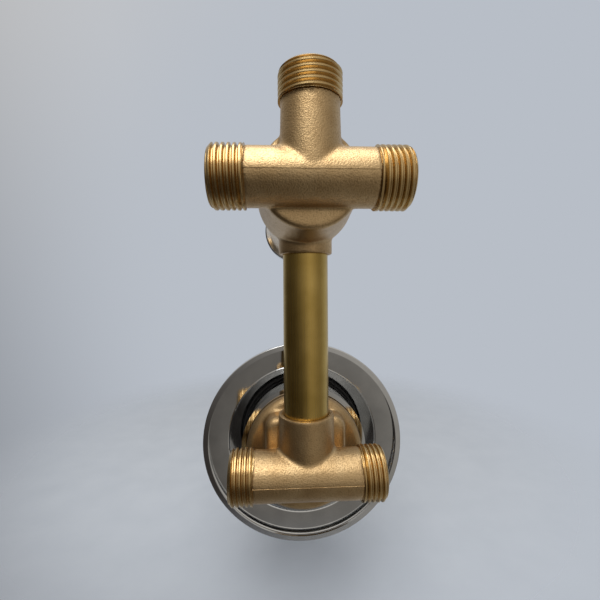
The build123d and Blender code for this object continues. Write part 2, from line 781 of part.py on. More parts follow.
def make_knob_screw():
    head_front_y = knob_web_front_y - knob_screw_head_length
    screw = drilled(0, 0, head_front_y, knob_screw_head_radius, knob_screw_head_length)
    screw = fillet(screw.edges().group_by(Axis.Y)[0], edge_break)
    screw += drilled(0, 0, knob_web_front_y, spindle_tapping_radius - seat_gap, knob_screw_length)
    key = extrude(RegularPolygon(set_screw_key / sqrt(3), 6), set_screw_key_depth / 2)
    screw -= Pos(0, head_front_y + set_screw_key_depth / 2, 0) * Rot(90, 0, 0) * key
    return diverter_axis_move * screw


def make_knob_cap():
    cap = drilled(0, 0, knob_front_y, knob_recess_radius - seat_gap, knob_cap_thickness)
    return diverter_axis_move * fillet(cap.edges().group_by(Axis.Y)[0], edge_break)


# Every piece, one file each
pieces = {
    "mixer_body": make_mixer_body,
    "riser_pipe": make_riser_pipe,
    "diverter_body": make_diverter_body,
    "mixer_port_seals": make_mixer_port_seals,
    "mixer_cartridge_base": make_mixer_cartridge_base,
    "mixer_fixed_disc": make_mixer_fixed_disc,
    "mixer_moving_disc": make_mixer_moving_disc,
    "mixer_disc_carrier": make_mixer_disc_carrier,
    "mixer_rotor": make_mixer_rotor,
    "mixer_pivot_pin": make_mixer_pivot_pin,
    "mixer_cartridge_housing": make_mixer_cartridge_housing,
    "mixer_cartridge_nut": make_mixer_cartridge_nut,
    "mixer_lever_stem": make_mixer_lever_stem,
    "lever_handle": make_lever_handle,
    "handle_set_screw": make_handle_set_screw,
    "handle_plug": make_handle_plug,
    "sleeve_o_ring": make_sleeve_o_ring,
    "mixer_sleeve": make_mixer_sleeve,
    "escutcheon": make_escutcheon,
    "escutcheon_o_ring": make_escutcheon_o_ring,
    "diverter_seat_gasket": make_diverter_seat_gasket,
    "diverter_fixed_disc": make_diverter_fixed_disc,
    "diverter_moving_disc": make_diverter_moving_disc,
    "diverter_bonnet": make_diverter_bonnet,
    "bonnet_o_ring": make_bonnet_o_ring,
    "diverter_spindle": make_diverter_spindle,
    "spindle_o_rings": make_spindle_o_rings,
    "spindle_circlip": make_spindle_circlip,
    "diverter_sleeve": make_diverter_sleeve,
    "diverter_knob": make_diverter_knob,
    "knob_screw": make_knob_screw,
    "knob_cap": make_knob_cap,
}

os.makedirs("parts", exist_ok=True)
for name, make in pieces.items():
    export_step(make(), f"parts/{name}.step")
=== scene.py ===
from math import pi, radians

import bmesh
import bpy
from bpy.props import FloatProperty, FloatVectorProperty, IntProperty, PointerProperty
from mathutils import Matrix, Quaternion, Vector, noise


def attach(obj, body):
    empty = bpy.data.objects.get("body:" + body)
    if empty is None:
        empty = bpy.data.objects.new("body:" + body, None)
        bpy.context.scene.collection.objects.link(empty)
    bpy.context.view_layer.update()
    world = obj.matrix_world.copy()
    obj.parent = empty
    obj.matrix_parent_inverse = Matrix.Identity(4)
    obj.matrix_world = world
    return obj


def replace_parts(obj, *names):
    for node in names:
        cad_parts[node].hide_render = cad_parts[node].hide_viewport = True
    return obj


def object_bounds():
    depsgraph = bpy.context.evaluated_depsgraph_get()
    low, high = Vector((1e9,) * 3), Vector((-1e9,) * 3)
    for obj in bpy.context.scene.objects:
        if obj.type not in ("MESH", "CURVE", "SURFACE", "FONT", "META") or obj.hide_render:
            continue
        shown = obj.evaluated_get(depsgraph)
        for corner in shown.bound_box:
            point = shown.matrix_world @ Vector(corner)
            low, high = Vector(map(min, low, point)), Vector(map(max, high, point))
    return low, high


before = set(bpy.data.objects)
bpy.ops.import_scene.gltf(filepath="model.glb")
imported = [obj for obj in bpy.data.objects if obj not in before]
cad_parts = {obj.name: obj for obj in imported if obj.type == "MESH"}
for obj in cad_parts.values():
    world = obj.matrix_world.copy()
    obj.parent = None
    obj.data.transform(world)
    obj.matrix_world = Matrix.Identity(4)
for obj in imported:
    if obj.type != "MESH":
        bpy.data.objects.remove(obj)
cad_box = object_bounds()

bl_info = {
    "name": "Concealed shower diverter valve",
    "version": (1, 0, 0),
    "blender": (4, 5, 0),
    "location": "View3D > Sidebar > Valve",
    "description": "Dresses a concealed shower mixer and diverter: castings, threads, trim, stage",
    "category": "Object",
}

mm = 0.001

# Places and lengths of the castings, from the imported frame, in metres
diverter_z = 0.1089
inlet_axis = Vector((0, 0.030, 0))
outlet_axis = Vector((0, 0.0564, diverter_z))
barrel_radius = 10.183 * mm
barrel_end = 21 * mm
neck_end = 24.1 * mm
inlet_thread = 9 * mm
outlet_thread = 11 * mm
top_thread = 10.3 * mm

# Directions
left = Vector((-1, 0, 0))
right = Vector((1, 0, 0))
back = Vector((0, 1, 0))
up = Vector((0, 0, 1))

# Points nearer than this are one point
weld = 0.001 * mm

# Noise mostly lies between these two values
noise_span = {"From Min": 0.3, "From Max": 0.7}


# Colours and node trees
def srgb(code):
    """A linear colour from its sRGB hex code."""
    channels = [int(code[i : i + 2], 16) / 255 for i in (1, 3, 5)]
    linear = [c / 12.92 if c <= 0.04045 else ((c + 0.055) / 1.055) ** 2.4 for c in channels]
    return (*linear, 1.0)


def add(tree, kind, inputs=None, **settings):
    """Adds a node with its settings, and fills its inputs with values or links from other nodes."""
    made = tree.nodes.new("ShaderNode" + kind)
    for key, value in settings.items():
        setattr(made, key, value)
    for key, value in (inputs or {}).items():
        if isinstance(value, bpy.types.Node):
            value = value.outputs[0]
        if isinstance(value, bpy.types.NodeSocket):
            tree.links.new(value, made.inputs[key])
        else:
            made.inputs[key].default_value = value
    return made


def new_material(name):
    """An empty material, its tree and the object's own coordinates."""
    material = bpy.data.materials.new(name)
    material.use_nodes = True
    tree = material.node_tree
    tree.nodes.clear()
    return material, tree, add(tree, "TexCoord").outputs["Object"]


# Materials
def make_cast_brass(finish):
    # Sand-cast brass, shot-blasted: a satin tan gold, a sandy, pitted sparkle, and faint stains.
    # The real grain is near 0.2 mm and is drawn more than twice as coarse, so that it shows.
    material, tree, place = new_material("cast_brass")
    sand = add(tree, "TexNoise", {"Vector": place, "Scale": 1 / finish.sand_grain, "Detail": 1})
    peening = add(tree, "TexNoise", {"Vector": place, "Scale": 1 / (1.6 * mm), "Detail": 2})
    stain = add(tree, "TexNoise", {"Vector": place, "Scale": 1 / (7 * mm), "Detail": 4})
    tones = {0: stain, 6: finish.cast_shade, 7: finish.cast_light}
    tone = add(tree, "Mix", tones, data_type="RGBA")
    pits = add(tree, "MapRange", {"Value": sand, "From Min": 0.5, "From Max": 0.3, "To Max": 0.35})
    pitted = add(tree, "Mix", {0: pits, 6: tone.outputs[2], 7: finish.cast_pit}, data_type="RGBA")
    satin = add(tree, "MapRange", {"Value": sand, **noise_span, "To Min": 0.48, "To Max": 0.34})
    dents = add(tree, "Bump", {"Height": peening, "Distance": 0.03 * mm, "Strength": 0.5})
    sandy = {"Height": sand, "Distance": 0.10 * mm, "Strength": 0.9}
    grain = add(tree, "Bump", {**sandy, "Normal": dents})
    look = {"Base Color": pitted.outputs[2], "Metallic": 1.0, "Roughness": satin, "Normal": grain}
    add(tree, "OutputMaterial", {"Surface": add(tree, "BsdfPrincipled", look)})
    return material


def make_machined_brass(finish):
    # Turned brass, left bare: a clear yellow with a fine torn tool finish.
    # The tool's marks are near 0.1 mm and are drawn twice as coarse, so that they show.
    material, tree, place = new_material("machined_brass")
    marks = add(tree, "TexNoise", {"Vector": place, "Scale": 1 / (0.2 * mm), "Detail": 2})
    stain = add(tree, "TexNoise", {"Vector": place, "Scale": 1 / (4 * mm), "Detail": 3})
    tones = {0: stain, 6: finish.turned_shade, 7: finish.turned_light}
    tone = add(tree, "Mix", tones, data_type="RGBA")
    gloss = add(tree, "MapRange", {"Value": marks, **noise_span, "To Min": 0.22, "To Max": 0.34})
    torn = add(tree, "Bump", {"Height": marks, "Distance": 0.012 * mm, "Strength": 0.5})
    look = {"Base Color": tone.outputs[2], "Metallic": 1.0, "Roughness": gloss, "Normal": torn}
    add(tree, "OutputMaterial", {"Surface": add(tree, "BsdfPrincipled", look)})
    return material


def make_drawn_brass(finish):
    # Drawn brass tube: long die lines up the pipe and a slightly green, handled tone.
    # The lines are near 0.05 mm and are drawn four times as wide, so that they show.
    material, tree, place = new_material("drawn_brass")
    up_the_pipe = (1 / (0.2 * mm), 1 / (0.2 * mm), 1 / (45 * mm))
    drawn = add(tree, "Mapping", {"Vector": place, "Scale": up_the_pipe})
    lines = add(tree, "TexNoise", {"Vector": drawn, "Scale": 1.0, "Detail": 3})
    tarnish = add(tree, "TexNoise", {"Vector": place, "Scale": 1 / (9 * mm), "Detail": 5})
    tones = {0: tarnish, 6: finish.drawn_shade, 7: finish.drawn_light}
    tone = add(tree, "Mix", tones, data_type="RGBA")
    gloss = add(tree, "MapRange", {"Value": lines, **noise_span, "To Min": 0.24, "To Max": 0.36})
    scored = add(tree, "Bump", {"Height": lines, "Distance": 0.015 * mm, "Strength": 0.5})
    look = {"Base Color": tone.outputs[2], "Metallic": 1.0, "Roughness": gloss, "Normal": scored}
    add(tree, "OutputMaterial", {"Surface": add(tree, "BsdfPrincipled", look)})
    return material


def make_chrome(finish):
    # Chrome plate over polished brass: a mirror with a wiped haze, hairlines and a slow ripple.
    # Hairlines are near 0.02 mm and are drawn ten times as wide, so that they show.
    material, tree, place = new_material("chrome")
    across_the_wipe = (1 / (8 * mm), 1 / (1 * mm), 1 / (0.2 * mm))
    wiped = add(tree, "Mapping", {"Vector": place, "Scale": across_the_wipe})
    hairs = add(tree, "TexNoise", {"Vector": wiped, "Scale": 1.0, "Detail": 2})
    haze = add(tree, "TexNoise", {"Vector": place, "Scale": 1 / (9 * mm), "Detail": 5})
    ripple = add(tree, "TexNoise", {"Vector": place, "Scale": 1 / (14 * mm), "Detail": 1})
    tones = {0: haze, 6: finish.chrome_shade, 7: finish.chrome_light}
    tone = add(tree, "Mix", tones, data_type="RGBA")
    wipes = {"To Min": finish.chrome_haze, "To Max": 2 * finish.chrome_haze}
    gloss = add(tree, "MapRange", {"Value": haze, **noise_span, **wipes})
    waves = add(tree, "Bump", {"Height": ripple, "Distance": 0.05 * mm, "Strength": 0.3})
    hairline = {"Height": hairs, "Distance": 0.002 * mm, "Strength": 0.25}
    scratched = add(tree, "Bump", {**hairline, "Normal": waves})
    look = {"Base Color": tone.outputs[2], "Metallic": 1.0, "Roughness": gloss, "Normal": scratched}
    add(tree, "OutputMaterial", {"Surface": add(tree, "BsdfPrincipled", look)})
    return material


def make_steel(finish):
    # Turned stainless steel: cool grey with a fine brushed grain.
    material, tree, place = new_material("steel")
    brushed = add(tree, "TexNoise", {"Vector": place, "Scale": 1 / (0.3 * mm), "Detail": 3})
    tone = add(tree, "Mix", {0: brushed, 6: srgb("#b0b1b1"), 7: srgb("#d3d4d4")}, data_type="RGBA")
    gloss = add(tree, "MapRange", {"Value": brushed, **noise_span, "To Min": 0.24, "To Max": 0.38})
    grain = add(tree, "Bump", {"Height": brushed, "Distance": 0.01 * mm, "Strength": 0.4})
    look = {"Base Color": tone.outputs[2], "Metallic": 1.0, "Roughness": gloss, "Normal": grain}
    add(tree, "OutputMaterial", {"Surface": add(tree, "BsdfPrincipled", look)})
    return material


def make_ceramic(finish):
    # Sintered alumina, lapped: dense warm white with a low sheen.
    material, tree, place = new_material("ceramic")
    body = add(tree, "TexNoise", {"Vector": place, "Scale": 1 / (0.8 * mm), "Detail": 4})
    tone = add(tree, "Mix", {0: body, 6: srgb("#e2dccf"), 7: srgb("#f8f5ef")}, data_type="RGBA")
    gloss = add(tree, "MapRange", {"Value": body, **noise_span, "To Min": 0.12, "To Max": 0.22})
    lapped = add(tree, "Bump", {"Height": body, "Distance": 0.003 * mm, "Strength": 0.3})
    look = {"Base Color": tone.outputs[2], "IOR": 1.76, "Roughness": gloss, "Normal": lapped}
    add(tree, "OutputMaterial", {"Surface": add(tree, "BsdfPrincipled", look)})
    return material


def make_cartridge_plastic(finish):
    # Moulded acetal with glass fibre: off-white with a mottled moulding skin.
    material, tree, place = new_material("cartridge_plastic")
    skin = add(tree, "TexNoise", {"Vector": place, "Scale": 1 / (1.2 * mm), "Detail": 4})
    tone = add(tree, "Mix", {0: skin, 6: srgb("#bcbdb8"), 7: srgb("#e6e6e2")}, data_type="RGBA")
    gloss = add(tree, "MapRange", {"Value": skin, **noise_span, "To Min": 0.38, "To Max": 0.52})
    moulded = add(tree, "Bump", {"Height": skin, "Distance": 0.01 * mm, "Strength": 0.4})
    look = {"Base Color": tone.outputs[2], "IOR": 1.48, "Roughness": gloss, "Normal": moulded}
    add(tree, "OutputMaterial", {"Surface": add(tree, "BsdfPrincipled", look)})
    return material


def make_rubber(finish):
    # Moulded nitrile rubber: black, matt, with a dusty bloom.
    material, tree, place = new_material("rubber")
    bloom = add(tree, "TexNoise", {"Vector": place, "Scale": 1 / (0.4 * mm), "Detail": 4})
    tone = add(tree, "Mix", {0: bloom, 6: srgb("#0f0f10"), 7: srgb("#313132")}, data_type="RGBA")
    gloss = add(tree, "MapRange", {"Value": bloom, **noise_span, "To Min": 0.5, "To Max": 0.7})
    skin = add(tree, "Bump", {"Height": bloom, "Distance": 0.01 * mm, "Strength": 0.5})
    look = {"Base Color": tone.outputs[2], "IOR": 1.52, "Roughness": gloss, "Normal": skin}
    add(tree, "OutputMaterial", {"Surface": add(tree, "BsdfPrincipled", look)})
    return material


def make_plug_plastic(finish):
    # Moulded ABS: plain mid grey, glossy, with a slight moulded wave.
    material, tree, place = new_material("plug_plastic")
    skin = add(tree, "TexNoise", {"Vector": place, "Scale": 1 / (2 * mm), "Detail": 3})
    tone = add(tree, "Mix", {0: skin, 6: srgb("#8f9194"), 7: srgb("#a6a9ac")}, data_type="RGBA")
    gloss = add(tree, "MapRange", {"Value": skin, **noise_span, "To Min": 0.18, "To Max": 0.28})
    wave = add(tree, "Bump", {"Height": skin, "Distance": 0.01 * mm, "Strength": 0.3})
    look = {"Base Color": tone.outputs[2], "IOR": 1.53, "Roughness": gloss, "Normal": wave}
    add(tree, "OutputMaterial", {"Surface": add(tree, "BsdfPrincipled", look)})
    return material


def make_paper(stage):
    # Matt studio paper: pale grey with a faint fibre, its edge fading into the backdrop.
    material, tree, place = new_material("studio_paper")
    fibre = add(tree, "TexNoise", {"Vector": place, "Scale": 1 / (25 * mm), "Detail": 4})
    tone = add(tree, "Mix", {0: fibre, 6: srgb("#bac1ca"), 7: srgb("#c9cfd7")}, data_type="RGBA")
    middle = (0, stage.floor_y, cad_box[0][2])
    away = add(tree, "VectorMath", {0: place, 1: middle}, operation="DISTANCE").outputs["Value"]
    fade = {"From Min": stage.floor_radius, "From Max": stage.floor_solid}
    edge = add(tree, "MapRange", {"Value": away, **fade}, interpolation_type="SMOOTHSTEP")
    matt = {"Roughness": 0.9, "Specular IOR Level": 0.2}
    look = {"Base Color": tone.outputs[2], "Alpha": edge, **matt}
    add(tree, "OutputMaterial", {"Surface": add(tree, "BsdfPrincipled", look)})
    return material


makers = {
    "cast_brass": make_cast_brass,
    "machined_brass": make_machined_brass,
    "drawn_brass": make_drawn_brass,
    "chrome": make_chrome,
    "steel": make_steel,
    "ceramic": make_ceramic,
    "cartridge_plastic": make_cartridge_plastic,
    "rubber": make_rubber,
    "plug_plastic": make_plug_plastic,
}


def material_named(name):
    """The valve's material of that name, made the first time it is asked for."""
    made = bpy.data.materials.get("valve_" + name)
    if made is None:
        made = makers[name](bpy.context.scene.valve_finish)
        made.name = "valve_" + name
    return made


def coat(names, material_name):
    """Gives carried-over CAD nodes one material."""
    for name in names:
        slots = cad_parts[name].data.materials
        if len(slots) == 0:
            slots.append(material_named(material_name))
        for i in range(len(slots)):
            slots[i] = material_named(material_name)


# Mesh work
def to_object(bm, name, material_name, body="valve", sharp=35):
    """Turns a bmesh into a piece that rides on a body."""
    bmesh.ops.recalc_face_normals(bm, faces=bm.faces)
    mesh = bpy.data.meshes.new(name)
    bm.to_mesh(mesh)
    bm.free()
    mesh.shade_smooth()
    mesh.set_sharp_from_angle(angle=radians(sharp))
    mesh.materials.append(material_named(material_name))
    piece = bpy.data.objects.new(name, mesh)
    bpy.context.scene.collection.objects.link(piece)
    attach(piece, body)
    return piece


def node_copy(name):
    """A CAD node's mesh with its loose triangles joined."""
    bm = bmesh.new()
    bm.from_mesh(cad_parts[name].data)
    bmesh.ops.remove_doubles(bm, verts=bm.verts, dist=weld)
    return bm


def along(point, start, direction):
    """How far a point lies along an axis, and how far from it."""
    offset = point - start
    reach = offset.dot(direction)
    return reach, (offset - direction * reach).length


def cut_spigot(bm, axis_point, direction, shoulder, reach):
    """Cuts a plain spigot off at its shoulder and closes the cut, so that a thread can follow."""
    chosen = set()
    for face in bm.faces:
        measures = [along(v.co, axis_point, direction) for v in face.verts]
        if all(m[0] > 0 and m[1] < reach for m in measures):
            chosen.add(face)
    edges = {edge for face in chosen for edge in face.edges}
    verts = {vert for face in chosen for vert in face.verts}
    place = axis_point + direction * shoulder
    geom = [*verts, *edges, *chosen]
    plane = {"plane_co": place, "plane_no": direction}
    bmesh.ops.bisect_plane(bm, geom=geom, dist=weld, clear_outer=True, **plane)
    rim = []
    for edge in bm.edges:
        off_plane = [abs(along(vert.co, place, direction)[0]) for vert in edge.verts]
        if edge.is_boundary and max(off_plane) < 20 * weld:
            rim.append(edge)
    if not rim:
        raise RuntimeError("the spigot's shoulder was not found")
    bmesh.ops.triangle_fill(bm, use_beauty=True, edges=rim, normal=direction)


def thread_section(thread, length):
    """Radius and place of each point along a thread's section, two turns past both ends."""
    root_flat, flank_width, rounding = 0.14, 0.54, 0.35
    depth = thread.outer_radius - thread.root_radius
    count = thread.steps_per_pitch
    points = []
    for i in range(-2 * count, round((length / thread.pitch + 2) * count)):
        flank = 1 - abs(2 * (i / count % 1.0) - 1)
        height = min(max((flank - root_flat) / flank_width, 0.0), 1.0)
        height = (1 - rounding) * height + rounding * height * height * (3 - 2 * height)
        points.append((thread.root_radius + depth * height, i / count * thread.pitch))
    return points


def set_radius(vert, shoulder, direction, radius, reach):
    """Moves a point to a radius and a place along an axis, at its own angle."""
    offset = vert.co - shoulder
    out = (offset - direction * offset.dot(direction)).normalized()
    vert.co = shoulder + direction * reach + out * radius


def next_rim(bm, rim, shoulder, direction, radius, reach):
    """Draws a rim on to a new radius and place, and returns the new rim."""
    drawn = bmesh.ops.extrude_edge_only(bm, edges=rim)["geom"]
    for vert in drawn:
        if isinstance(vert, bmesh.types.BMVert):
            set_radius(vert, shoulder, direction, radius, reach)
    return [edge for edge in drawn if isinstance(edge, bmesh.types.BMEdge) and edge.is_boundary]


def thread_mesh(thread, shoulder, direction, length):
    """A threaded spigot as one closed shell, bored through, with a tail inside the casting."""
    bm = bmesh.new()
    side = direction.orthogonal().normalized()
    line = []
    for radius, reach in thread_section(thread, length):
        line.append(bm.verts.new(shoulder + direction * reach + side * radius))
    edges = [bm.edges.new(pair) for pair in zip(line, line[1:])]
    rise = direction * (thread.pitch / thread.segments)
    helix = {"cent": shoulder, "axis": direction, "dvec": rise, "angle": 2 * pi}
    bmesh.ops.spin(bm, geom=line + edges, steps=thread.segments, **helix)
    bmesh.ops.remove_doubles(bm, verts=bm.verts, dist=2 * weld)
    free_end = shoulder + direction * length
    for place, waste in ((shoulder, "clear_inner"), (free_end, "clear_outer")):
        geom = [*bm.verts, *bm.edges, *bm.faces]
        plane = {"plane_co": place, "plane_no": direction, waste: True}
        bmesh.ops.bisect_plane(bm, geom=geom, dist=0.1 * weld, **plane)
    depth = thread.outer_radius - thread.root_radius
    for vert in bm.verts:
        reach, radius = along(vert.co, shoulder, direction)
        run_out = thread.outer_radius - depth * reach / thread.run_out
        lead_in = thread.outer_radius - thread.lead_in + (length - reach)
        set_radius(vert, shoulder, direction, min(max(radius, run_out), lead_in), reach)
    shoulder_rim, rim = [], []
    for edge in bm.edges:
        if edge.is_boundary:
            reach, _ = along(edge.verts[0].co, shoulder, direction)
            (shoulder_rim if reach < length / 2 else rim).append(edge)
    bore, bevel = thread.bore_radius, thread.bore_edge
    waterway = (
        (bore + bevel, length),
        (bore, length - bevel),
        (bore, 0.0),
        (bore + bevel, -bevel),
        (bore + bevel, -thread.tail),
    )
    for radius, reach in waterway:
        rim = next_rim(bm, rim, shoulder, direction, radius, reach)
    for reach in (0.0, -thread.tail):
        shoulder_rim = next_rim(bm, shoulder_rim, shoulder, direction, thread.root_radius, reach)
    bmesh.ops.bridge_loops(bm, edges=rim + shoulder_rim)
    return bm


def add_flash(bm, casting, start, stop, outward, seed):
    """A thin uneven ridge of metal where the two halves of the mould met, from start to stop."""
    long_wave, short_wave = 3.1 * mm, 0.9 * mm
    run = stop - start
    across = run.normalized().cross(outward)
    count = max(2, round(run.length / casting.flash_step))
    ridge = bmesh.new()
    corners = ((-1.0, 0.0), (-0.3, 1.0), (0.3, 1.0), (1.0, 0.0))
    ring = [ridge.verts.new(start + across * casting.flash_width * c[0]) for c in corners]
    edges = [ridge.edges.new((ring[i - 1], ring[i])) for i in range(4)]
    bmesh.ops.contextual_create(ridge, geom=ring)
    for _ in range(count):
        drawn = bmesh.ops.extrude_edge_only(ridge, edges=edges)["geom"]
        edges = [e for e in drawn if isinstance(e, bmesh.types.BMEdge) and e.is_boundary]
        fresh = [v for v in drawn if isinstance(v, bmesh.types.BMVert)]
        bmesh.ops.translate(ridge, verts=fresh, vec=run / count)
    bmesh.ops.contextual_create(ridge, geom=fresh)
    for vert in ridge.verts:
        place, _ = along(vert.co, start, run.normalized())
        side = (vert.co - start).dot(across) / casting.flash_width
        wobble = noise.noise(Vector((place / long_wave, seed, 0.0)))
        ragged = noise.noise(Vector((place / short_wave, seed, 5.0)))
        crest = casting.flash_height * (0.6 + 0.3 * wobble + 0.3 * ragged)
        lift = crest if abs(side) < 0.5 else -casting.flash_width
        vert.co += outward * lift + across * (0.2 * wobble * casting.flash_width)
    mesh = bpy.data.meshes.new("flash")
    ridge.to_mesh(mesh)
    ridge.free()
    bm.from_mesh(mesh)
    bpy.data.meshes.remove(mesh)


def step_at_parting(bm, casting, axis_point):
    """Sets a barrel's back a hair inwards below the parting line, where the mould halves met."""
    front = axis_point.y + 5 * mm
    half_length = barrel_end - 0.2 * mm
    band = 1.5 * mm
    for drop in (0.0, casting.step_height):
        near = []
        for face in bm.faces:
            middle = face.calc_center_median()
            on_back = middle.y > front and abs(middle.x) < half_length
            if on_back and abs(middle.z - axis_point.z) < band:
                near.append(face)
        edges = {edge for face in near for edge in face.edges}
        verts = {vert for face in near for vert in face.verts}
        geom = [*verts, *edges, *near]
        plane = {"plane_co": axis_point - up * drop, "plane_no": up}
        bmesh.ops.bisect_plane(bm, geom=geom, dist=0.1 * weld, **plane)
    for vert in bm.verts:
        below = axis_point.z - vert.co.z
        on_back = vert.co.y > front and abs(vert.co.x) < half_length
        if on_back and 0.9 * casting.step_height < below < casting.step_fade:
            uneven = 0.75 + 0.5 * noise.noise(Vector((vert.co.x / (5 * mm), axis_point.z, 0.0)))
            vert.co.y -= casting.step_depth * uneven * (1 - below / casting.step_fade)


def remeshed(bm, name, casting):
    """A casting's skin in even small faces, with soft corners and a slightly wavy surface."""
    bmesh.ops.recalc_face_normals(bm, faces=bm.faces)
    mesh = bpy.data.meshes.new(name)
    bm.to_mesh(mesh)
    bm.free()
    block = bpy.data.objects.new(name, mesh)
    bpy.context.scene.collection.objects.link(block)
    remesh = block.modifiers.new("skin", "REMESH")
    remesh.mode = "VOXEL"
    remesh.voxel_size = casting.skin_size
    graph = bpy.context.evaluated_depsgraph_get()
    even = bpy.data.meshes.new_from_object(block.evaluated_get(graph))
    bpy.data.objects.remove(block)
    skin = bmesh.new()
    skin.from_mesh(even)
    bpy.data.meshes.remove(even)
    bpy.data.meshes.remove(mesh)
    every_way = {"use_axis_x": True, "use_axis_y": True, "use_axis_z": True}
    for _ in range(casting.skin_smoothing):
        bmesh.ops.smooth_vert(skin, verts=skin.verts, factor=0.5, **every_way)
    skin.normal_update()
    shifts = []
    for vert in skin.verts:
        place = vert.co / casting.wave_length
        wave = noise.noise(place) + 0.5 * noise.noise(place * 2.7)
        shifts.append(vert.normal * (wave * casting.wave_height))
    for vert, shift in zip(skin.verts, shifts):
        vert.co += shift
    return skin


# Settings
class ValveThread(bpy.types.PropertyGroup):
    outer_radius: FloatProperty(
        name="Outer radius", description="G 1/2 thread, crest", default=10.4775 * mm, unit="LENGTH"
    )
    root_radius: FloatProperty(
        name="Root radius",
        description="G 1/2 thread, root, a little filled",
        default=9.48 * mm,
        unit="LENGTH",
    )
    pitch: FloatProperty(
        name="Pitch", description="Fourteen turns to the inch", default=1.814 * mm, unit="LENGTH"
    )
    lead_in: FloatProperty(
        name="Lead-in", description="Bevel at the free end", default=1.2 * mm, unit="LENGTH"
    )
    bore_radius: FloatProperty(
        name="Bore radius", description="Waterway of a port", default=7.25 * mm, unit="LENGTH"
    )
    bore_edge: FloatProperty(
        name="Bore edge", description="Bevel at the bore's mouth", default=0.3 * mm, unit="LENGTH"
    )
    segments: IntProperty(name="Segments", description="Steps round a thread", default=128, min=24)
    run_out: FloatProperty(
        name="Run-out",
        description="Length over which the thread fades at its shoulder",
        default=1.4 * mm,
        unit="LENGTH",
    )
    tail: FloatProperty(
        name="Tail",
        description="Length that sits inside the casting",
        default=0.7 * mm,
        unit="LENGTH",
    )
    steps_per_pitch: IntProperty(
        name="Steps per turn", description="Steps along one turn", default=14, min=6
    )


class ValveCasting(bpy.types.PropertyGroup):
    flash_height: FloatProperty(
        name="Flash height",
        description="Ridge at the mould's parting plane",
        default=0.1 * mm,
        unit="LENGTH",
    )
    flash_width: FloatProperty(
        name="Flash width", description="Half width of that ridge", default=0.25 * mm, unit="LENGTH"
    )
    flash_step: FloatProperty(
        name="Flash step",
        description="Length between its sections",
        default=0.35 * mm,
        unit="LENGTH",
    )
    step_depth: FloatProperty(
        name="Step depth",
        description="How far a barrel's lower half sits back",
        default=0.25 * mm,
        unit="LENGTH",
    )
    step_height: FloatProperty(
        name="Step height", description="Height of that step", default=0.12 * mm, unit="LENGTH"
    )
    step_fade: FloatProperty(
        name="Step fade",
        description="Height over which the step fades out",
        default=4 * mm,
        unit="LENGTH",
    )
    skin_size: FloatProperty(
        name="Skin face",
        description="Size of the faces of a casting's skin",
        default=0.54 * mm,
        unit="LENGTH",
    )
    skin_smoothing: IntProperty(
        name="Skin smoothing", description="Rounds of smoothing of the skin", default=2, min=0
    )
    wave_length: FloatProperty(
        name="Wave length",
        description="Length of the skin's waves",
        default=3.5 * mm,
        unit="LENGTH",
    )
    wave_height: FloatProperty(
        name="Wave height",
        description="Height of the skin's waves",
        default=0.02 * mm,
        unit="LENGTH",
    )


def tint(name, code):
    """A colour that a user can change."""
    colour = {"size": 4, "subtype": "COLOR", "min": 0, "max": 1}
    return FloatVectorProperty(name=name, description="Its colour", default=srgb(code), **colour)


class ValveFinish(bpy.types.PropertyGroup):
    sand_grain: FloatProperty(
        name="Sand grain", description="Grain of the blasted brass", default=0.5 * mm, unit="LENGTH"
    )
    chrome_haze: FloatProperty(
        name="Chrome haze",
        description="Roughness of the chrome plate",
        default=0.05,
        subtype="FACTOR",
        min=0,
        max=1,
    )
    cast_shade: tint("Cast brass, stained", "#b19063")
    cast_light: tint("Cast brass", "#d9bd90")
    cast_pit: tint("Cast brass, in the pits", "#80653f")
    turned_shade: tint("Turned brass, stained", "#b49563")
    turned_light: tint("Turned brass", "#d6ba86")
    drawn_shade: tint("Drawn brass, tarnished", "#a68840")
    drawn_light: tint("Drawn brass", "#dabb70")
    chrome_shade: tint("Chrome, hazy", "#c9cbcc")
    chrome_light: tint("Chrome", "#f0f0f0")


class ValveStage(bpy.types.PropertyGroup):
    floor_gap: FloatProperty(
        name="Floor gap",
        description="Floor below the lowest point",
        default=1.0 * mm,
        unit="LENGTH",
    )
    floor_y: FloatProperty(
        name="Floor middle",
        description="Middle of the floor, in front of the wall",
        default=-0.20,
        unit="LENGTH",
    )
    floor_solid: FloatProperty(
        name="Floor solid",
        description="Radius up to which the floor is solid",
        default=0.12,
        unit="LENGTH",
    )
    floor_radius: FloatProperty(
        name="Floor radius",
        description="Radius at which the floor has faded out",
        default=0.31,
        unit="LENGTH",
    )
    key_power: FloatProperty(
        name="Key light",
        description="Soft light from above and behind the camera",
        default=2.75,
        unit="POWER",
    )
    low_room: tint("Room, low down", "#383431")
    side_room: tint("Room, to the right", "#86827b")
    high_room: tint("Room, high up", "#d0cbc4")
    backdrop: tint("Backdrop", "#b8bec7")


